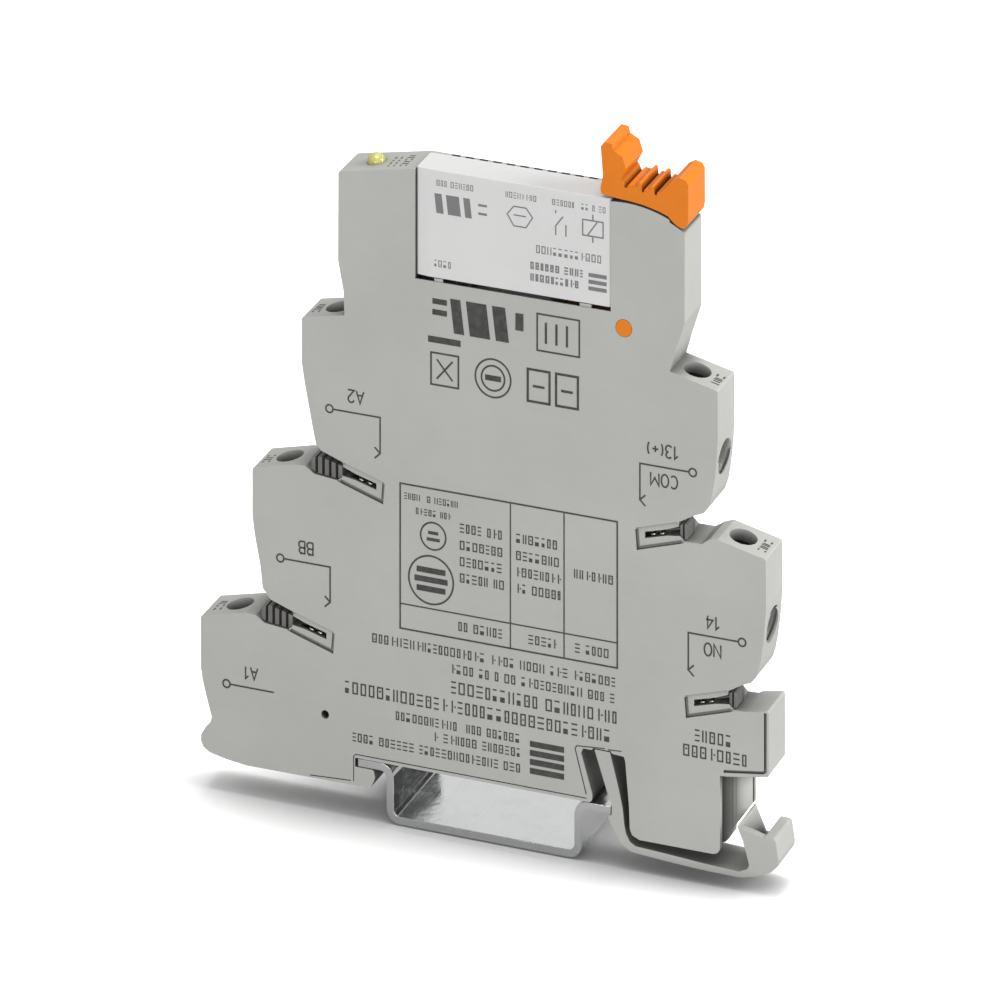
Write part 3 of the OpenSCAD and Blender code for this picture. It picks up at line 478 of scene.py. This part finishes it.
def figure(marks, text, a, b, h, w=0.2, gap=0.20):
    """Terminal number centred on (a, b), turned by 180 degrees like all the marks on the face."""
    total = sum(GLYPHS[c][0] for c in text) + gap * (len(text) - 1)
    x = -total / 2
    for c in text:
        width, strokes = GLYPHS[c]
        for s in strokes:
            pts = [(a - (x + p[0]) * h, b - (p[1] - 0.5) * h) for p in s]
            closed = (Vector(pts[0]) - Vector(pts[-1])).length < 1e-6
            marks.stroke(pts[:-1] if closed else pts, w, closed)
        x += width + gap


face_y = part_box("front_shell")[0].y / MM
face = Marks(lambda a, b, h: Vector((a, face_y - h, b)))

# terminal symbols: a ring, a lead and a fork
L = 0.2
for (cx, cz), path, fork in (
    ((-21.5, 52.1), [(-20.9, 52.1), (-14.4, 52.1), (-14.4, 47.4)], -1),
    ((-28.4, 31.6), [(-27.8, 31.6), (-21.4, 31.6), (-21.4, 27.0)], -1),
    ((-36.0, 14.0), [(-35.4, 14.0), (-29.3, 14.0)], 0),
    ((28.7, 52.1), [(28.1, 52.1), (21.5, 52.1), (21.5, 47.4)], 1),
    ((35.4, 31.6), [(34.8, 31.6), (28.1, 31.6), (28.1, 26.8)], 1),
):
    face.ring(cx, cz, 0.5, L, 20)
    face.stroke(path, L)
    if fork:
        x, z = path[-1]
        face.stroke([(x + fork * 0.75, z + 0.75), (x, z + 0.05), (x + fork * 0.75, z - 0.65)], L)
figure(face, "A2", -17.8, 54.2, 1.6)
figure(face, "BB", -24.8, 33.5, 1.55)
figure(face, "A1", -32.5, 15.9, 1.55)
figure(face, "13(+)", 24.6, 54.2, 1.6)
figure(face, "COM", 24.8, 50.4, 1.6)
figure(face, "14", 31.4, 33.4, 1.6)
figure(face, "NO", 31.4, 29.9, 1.6)

# table
for pts in ([(-11.6, 25.4), (18.4, 25.4), (18.4, 44.1), (-11.6, 44.1)],):
    face.stroke(pts, 0.2, True)
face.stroke([(-11.5, 28.6), (18.3, 28.6)], 0.17)
face.stroke([(3.7, 25.5), (3.7, 44.0)], 0.17)
face.stroke([(11.1, 25.5), (11.1, 44.0)], 0.17)
for i, z in enumerate((39.7, 37.5, 35.4, 33.3)):
    face.rows(-3.3, 2.9, z, 1.15, 10 + i, word=0.08)
    face.rows(4.5, 10.6, z, 1.15, 20 + i, word=0.08)
face.rows(11.9, 17.8, 36.5, 1.15, 31, word=0.08)
face.rows(-3.5, 2.9, 27.0, 1.15, 32, word=0.05)
face.rows(6.2, 10.0, 27.0, 1.15, 33, word=0.05)
face.rows(12.6, 17.2, 27.0, 1.15, 34, word=0.05)
face.ring(-7.3, 32.3, 3.1, 0.22, 40)
for i, (w, z) in enumerate(((2.0, 33.5), (2.3, 32.3), (2.0, 31.1))):
    face.box(-7.3 - w, z - 0.36, -7.3 + w, z + 0.36)
face.ring(-7.0, 38.0, 1.75, 0.2, 28)
face.box(-7.9, 37.35, -6.1, 37.75)
face.box(-7.7, 38.2, -6.3, 38.6)
face.rows(-9.4, -4.6, 40.9, 0.8, 41, word=0.05)
face.rows(-11.0, -3.6, 42.6, 0.8, 42, word=0.1)

# lines of abstract marks
face.rows(-15.5, 18.3, 23.5, 1.15, 51)
face.rows(-4.5, 18.3, 21.4, 1.15, 52)
face.rows(-4.5, 18.3, 19.0, 1.55, 53, bold=0.12)
face.rows(-19.3, 18.3, 16.5, 1.55, 54, bold=0.12)
face.rows(-13.3, 5.5, 14.0, 1.1, 55)
face.rows(-7.0, 5.5, 12.2, 1.1, 56)
face.rows(-18.8, 5.5, 10.2, 1.1, 57)
for k in range(4):
    face.box(6.4, 9.8 + 1.15 * k, 11.1, 10.55 + 1.15 * k)
face.rows(29.0, 34.3, 18.7, 1.5, 58, bold=0.12, word=0.0)
face.rows(27.4, 36.0, 16.6, 1.5, 59, bold=0.12, word=0.0)

# upper group: plain blocks and outlines
for a0, a1, z0, z1 in ((-1.9, 0.9, 64.6, 69.0), (1.7, 3.5, 64.6, 69.0), (-4.1, -2.7, 64.6, 69.0)):
    face.box(a0, z0, a1, z1, slant=-0.55)
face.box(4.4, 66.4, 5.5, 68.6)
face.box(-7.1, 66.6, -5.1, 67.3)
face.box(-7.1, 68.0, -5.1, 68.7)
face.stroke([(7.4, 64.3), (13.2, 64.3), (13.2, 69.0), (7.4, 69.0)], 0.22, True)
for k in range(3):
    face.stroke([(8.6 + 1.45 * k, 65.3), (8.6 + 1.45 * k, 68.0)], 0.3)
face.box(-7.7, 63.0, -3.2, 63.8)
face.stroke([(-7.3, 57.6), (-3.5, 57.6), (-3.5, 61.7), (-7.3, 61.7)], 0.22, True)
face.stroke([(-6.5, 58.4), (-4.3, 60.9)], 0.22)
face.stroke([(-6.5, 60.9), (-4.3, 58.4)], 0.22)
face.ring(1.3, 59.7, 2.45, 0.22, 36)
face.ring(1.3, 59.7, 1.6, 0.22, 28)
face.box(0.2, 59.35, 2.4, 60.05)
for a in (6.1, 10.0):
    face.stroke([(a, 57.6), (a + 3.0, 57.6), (a + 3.0, 61.7), (a, 61.7)], 0.3, True)
    face.stroke([(a + 0.7, 59.6), (a + 2.3, 59.6)], 0.3)
face.finish("printed_marks_front", ink_dark, "housing")

# relay cover: the same kind of marks in a lighter ink
cover_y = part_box("relay_cover")[0].y / MM
cover = Marks(lambda a, b, h: Vector((a, cover_y - h, b)), height=0.014)
cover.box(-6.6, 79.7, -5.6, 82.2, slant=-0.3)
cover.box(-5.0, 79.7, -3.2, 82.2, slant=-0.3)
cover.box(-2.6, 79.7, -1.7, 82.2, slant=-0.3)
cover.stroke([(-0.8, 81.6), (0.4, 81.6)], 0.3)
cover.stroke([(-0.8, 80.5), (0.4, 80.5)], 0.3)
cover.rows(-6.6, -1.2, 83.6, 0.75, 71)
cover.stroke([(3.2, 81.1), (4.1, 79.7), (5.8, 79.7), (6.7, 81.1), (5.8, 82.2), (4.1, 82.2)], 0.16, True)
cover.stroke([(4.1, 81.1), (5.8, 81.1)], 0.16)
cover.rows(2.6, 7.2, 83.6, 0.75, 72)
cover.stroke([(9.9, 79.4), (9.9, 80.6), (10.9, 81.9)], 0.18)
cover.stroke([(9.9, 82.6), (9.9, 82.2)], 0.18)
cover.stroke([(11.3, 79.4), (11.3, 80.9)], 0.18)
cover.stroke([(13.6, 80.0), (16.4, 80.0), (16.4, 82.0), (13.6, 82.0)], 0.18, True)
cover.stroke([(14.3, 80.1), (15.6, 81.9)], 0.18)
cover.stroke([(15.0, 79.2), (15.0, 79.9)], 0.18)
cover.stroke([(15.0, 82.1), (15.0, 82.8)], 0.18)
cover.rows(9.4, 12.4, 83.6, 0.75, 73)
cover.rows(13.4, 16.8, 83.6, 0.75, 74)
cover.rows(7.2, 16.9, 77.2, 1.0, 75)
cover.rows(6.4, 13.6, 75.0, 0.95, 76, bold=0.2)
cover.rows(6.4, 13.6, 73.5, 0.95, 77, bold=0.2)
for k in range(3):
    cover.box(14.4, 73.05 + 0.86 * k, 16.9, 73.55 + 0.86 * k)
cover.rows(-6.9, -4.2, 73.2, 0.85, 78, word=0)
cover.finish("printed_marks_relay", ink_soft, "relay")

# small marks on the sloping tops, laid on the shell's own surface
dg = bpy.context.evaluated_depsgraph_get()
shell_tree = BVHTree.FromObject(nodes["front_shell"], dg)


def on_top(a, b, h):
    """The shell's top surface over (a, b) mm, raised by h."""
    hit, normal, _, _ = shell_tree.ray_cast(Vector((a * MM, b * MM, 0.2)), Vector((0, 0, -1)))
    return hit / MM + normal * h


top = Marks(on_top)


def top_rows(a0, a1, y0, y1, seed):
    """Short abstract marks across the top: each is a dash or a pair along X."""
    rnd = random.Random(seed)
    y = y0
    while y < y1 - 0.3:
        c = rnd.choice((0.35, 0.5, 0.6))
        if rnd.random() < 0.5:
            top.stroke([(a0, y), (a1, y)], 0.2)
            top.stroke([(a0 + 0.1, y + c), (a1 - 0.1, y + c)], 0.2)
        else:
            top.stroke([(a0 + 0.1, y), (a0 + 0.1, y + c)], 0.2)
            top.stroke([(a1 - 0.1, y), (a1 - 0.1, y + c)], 0.2)
        y += c + 0.45


for a, seed in ((-38.6, 81), (-31.7, 82), (-24.7, 83)):
    top_rows(a, a + 1.1, -1.5, 1.4, seed)
for a, seed in ((30.6, 84), (36.9, 85)):
    top_rows(a, a + 1.1, -1.5, 1.4, seed)
top_rows(-13.9, -12.9, -1.9, 1.6, 86)
top_rows(-12.2, -11.2, -1.9, 1.6, 87)
top.finish("printed_marks_tops", ink_dark, "housing")


# ---- pressed contact points inside the bridge slits ----------------------------------------
def dimple(name, centre, half_x, half_z, rise, lean):
    """A pressed contact point: an oval pad with a rolled shoulder and a shallow crown, leaning with its strip."""
    bm = bmesh.new()
    rings = [(0.8, 2.4), (1.0, 0.0), (0.97, -0.35), (0.86, -0.66), (0.64, -0.88), (0.34, -0.98)]
    n, rows = 24, []
    for r, h in rings:
        row = []
        for i in range(n):
            a = 2 * math.pi * i / n
            x, z = half_x * r * math.cos(a), half_z * r * math.sin(a)
            row.append(bm.verts.new((centre + Vector((x * math.cos(lean) - z * math.sin(lean), h * rise, x * math.sin(lean) + z * math.cos(lean)))) * MM))
        rows.append(row)
    for r, t_ in zip(rows, rows[1:]):
        for i in range(n):
            bm.faces.new((r[i], r[(i + 1) % n], t_[(i + 1) % n], t_[i]))
    crown = bm.verts.new((centre + Vector((0, -rise, 0))) * MM)
    for i in range(n):
        bm.faces.new((rows[-1][i], rows[-1][(i + 1) % n], crown))
    bm.faces.new(rows[0][::-1])
    bmesh.ops.recalc_face_normals(bm, faces=bm.faces[:])
    me = bpy.data.meshes.new(name)
    bm.to_mesh(me)
    bm.free()
    for p_ in me.polygons:
        p_.use_smooth = True
    me.materials.append(materials["tinned_copper"])
    o = bpy.data.objects.new(name, me)
    bpy.context.scene.collection.objects.link(o)
    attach(o, "housing")


for key, side in (("bb", -1), ("a2", -1), ("13", 1), ("14", 1)):
    lo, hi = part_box(f"bridge_contact_{key}")
    inner = hi.x / MM - 0.05 if side < 0 else lo.x / MM + 0.05
    base = lo.z / MM + 0.18
    for k, (off, up) in enumerate(((0.95, 0.10), (2.15, 0.38))):
        dimple(f"contact_point_{key}_{k + 1}", Vector((inner + side * off, lo.y / MM + 0.52, base + up)), 0.42, 0.17, 0.34, side * 0.27)

# ---- witness marks of the mould on the cover's outside -----------------------------------
back_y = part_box("back_cover")[1].y / MM
rear = Marks(lambda a, b, h: Vector((a, back_y + h, b)), height=0.03)
for a, b in ((-33, 8.8), (2, 12.4), (27, 10.5), (19, 30.5), (19.5, 62.3), (-12.2, 68.5), (-24, 33), (0, 46), (8, 76)):
    rear.ring(a, b, 1.25, 0.12, 36)
    rear.ring(a, b, 0.35, 0.10, 20)
rear.stroke([(-20.5, 24.0), (21.5, 24.0), (21.5, 41.5), (-20.5, 41.5)], 0.14, True)
rear.finish("cover_witness_marks", materials["housing_grey"], "housing")


# ---- floor, light, camera ---------------------------------------------------------------
def plain(name):
    m = bpy.data.materials.new(name)
    m.use_nodes = True
    return m, m.node_tree


floor_me = bpy.data.meshes.new("floor")
S = 60.0
z0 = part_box("din_rail_stub")[0].z - 0.0002
floor_me.from_pydata([(-S, -S, z0), (S, -S, z0), (S, S, z0), (-S, S, z0)], [], [(0, 1, 2, 3)])
floor = bpy.data.objects.new("floor", floor_me)
bpy.context.scene.collection.objects.link(floor)
m, t = plain("floor_painted_shadow")
t.nodes.remove(t.nodes["Principled BSDF"])
b = t.nodes.new("ShaderNodeBsdfDiffuse")
t.links.new(b.outputs[0], t.nodes["Material Output"].inputs[0])
# painted shadow: to camera rays the floor's colour falls with ambient occlusion near the object, a painted contact
# shadow; away from it the floor is brighter than white, and other rays see an even mid grey
path = t.nodes.new("ShaderNodeLightPath")
mix = t.nodes.new("ShaderNodeMix")
mix.data_type = "RGBA"
mix.inputs[6].default_value = (0.50, 0.50, 0.50, 1)
shadow_ao = t.nodes.new("ShaderNodeAmbientOcclusion")
shadow_ao.samples = 12
shadow_ao.inputs["Distance"].default_value = 16 * MM
shadow_ao.inputs["Color"].default_value = (1, 1, 1, 1)
curve = t.nodes.new("ShaderNodeMapRange")
curve.inputs[1].default_value, curve.inputs[2].default_value = 0.30, 0.97
curve.inputs[3].default_value, curve.inputs[4].default_value = 0.42, 1.64
t.links.new(shadow_ao.outputs["AO"], curve.inputs[0])
t.links.new(curve.outputs[0], mix.inputs[7])
t.links.new(path.outputs["Is Camera Ray"], mix.inputs[0])
t.links.new(mix.outputs[2], b.inputs["Color"])
floor_me.materials.append(m)

world = bpy.data.worlds.new("studio")
bpy.context.scene.world = world
world.use_nodes = True
wt = world.node_tree
bg = wt.nodes["Background"]
bg.inputs["Color"].default_value = (1, 1, 1, 1)


def world_math(op, *values):
    n = wt.nodes.new("ShaderNodeMath")
    n.operation = op
    for i, v in enumerate(values):
        if isinstance(v, bpy.types.NodeSocket):
            wt.links.new(v, n.inputs[i])
        else:
            n.inputs[i].default_value = v
    return n.outputs[0]


def world_step(value, a0, a1):
    n = wt.nodes.new("ShaderNodeMapRange")
    n.interpolation_type = "SMOOTHSTEP"
    wt.links.new(value, n.inputs[0])
    n.inputs[1].default_value, n.inputs[2].default_value = a0, a1
    return n.outputs[0]


# even grey all round; polished metal also sees a bright card behind and to the left, and a dark one to the right
wp = wt.nodes.new("ShaderNodeLightPath")
wc = wt.nodes.new("ShaderNodeTexCoord")
ws = wt.nodes.new("ShaderNodeSeparateXYZ")
wt.links.new(wc.outputs["Generated"], ws.inputs[0])
behind = world_step(ws.outputs[1], 0.1, 0.5)
left = world_step(ws.outputs[0], 0.12, -0.12)
card = world_math("MULTIPLY_ADD", left, 0.76, 0.03)
soft = world_math("MULTIPLY_ADD", behind, world_math("SUBTRACT", card, 0.30), 0.30)
level = world_math("ADD", world_math("MULTIPLY", wp.outputs["Is Glossy Ray"], world_math("SUBTRACT", soft, 0.34)), 0.34)
seen = world_math("ADD", level, world_math("MULTIPLY", wp.outputs["Is Camera Ray"], 1.2))
wt.links.new(seen, bg.inputs["Strength"])

middle = (cad_box[0] + cad_box[1]) / 2
middle.y = 0


def softbox(name, azimuth, elevation, distance, size, level, target=middle):
    a, e = math.radians(azimuth), math.radians(elevation)
    d = Vector((math.sin(a) * math.cos(e), -math.cos(a) * math.cos(e), math.sin(e)))
    light = bpy.data.lights.new(name, "AREA")
    light.shape, light.size, light.size_y = "RECTANGLE", size[0], size[1]
    light.energy = level * math.pi * math.pi * distance * distance
    o = bpy.data.objects.new(name, light)
    o.location = target + d * distance
    o.rotation_mode = "QUATERNION"
    o.rotation_quaternion = d.to_track_quat("Z", "Y")
    bpy.context.scene.collection.objects.link(o)
    return o


softbox("overhead", 190, 85, 0.60, (0.30, 0.30), 0.42)
softbox("side", 104, 24, 0.80, (0.45, 0.45), 0.84)
softbox("front", 10, 16, 1.10, (0.8, 0.5), 0.55)

# The camera keeps verticals upright, as the view does: level axis, with the lens shifted down
scene = bpy.context.scene
cam_data = bpy.data.cameras.new("camera")
cam = bpy.data.objects.new("camera", cam_data)
scene.collection.objects.link(cam)
scene.camera = cam
ANGLE = math.radians(21.717062)
DIST, EYE = 1.2159874, 0.5879315
cam.location = (DIST * math.sin(ANGLE), -DIST * math.cos(ANGLE), EYE)
cam.rotation_mode = "QUATERNION"
cam.rotation_quaternion = Vector((math.sin(ANGLE), -math.cos(ANGLE), 0)).to_track_quat("Z", "Y")
cam_data.sensor_width = 36.0
cam_data.lens = 339.566
SHIFT = {"shift_x": 0.007449, "shift_y": -4.230538}
for prop, value in SHIFT.items():
    # the shift belongs to this one place of the camera; from anywhere else the lens is straight
    setattr(cam_data, prop, value)
    drv = cam_data.driver_add(prop).driver
    drv.type = "SCRIPTED"
    for var, kind in (("x", "LOC_X"), ("z", "LOC_Z")):
        v = drv.variables.new()
        v.name, v.type = var, "TRANSFORMS"
        v.targets[0].id = cam
        v.targets[0].transform_type = kind
        v.targets[0].transform_space = "WORLD_SPACE"
    drv.expression = f"{value} if abs(x - {cam.location.x:.6f}) < 0.0005 and abs(z - {cam.location.z:.6f}) < 0.0005 else 0"
cam_data.clip_start, cam_data.clip_end = 0.05, 200.0

scene.view_settings.view_transform = "Standard"
scene.view_settings.look = "None"

bpy.context.view_layer.update()
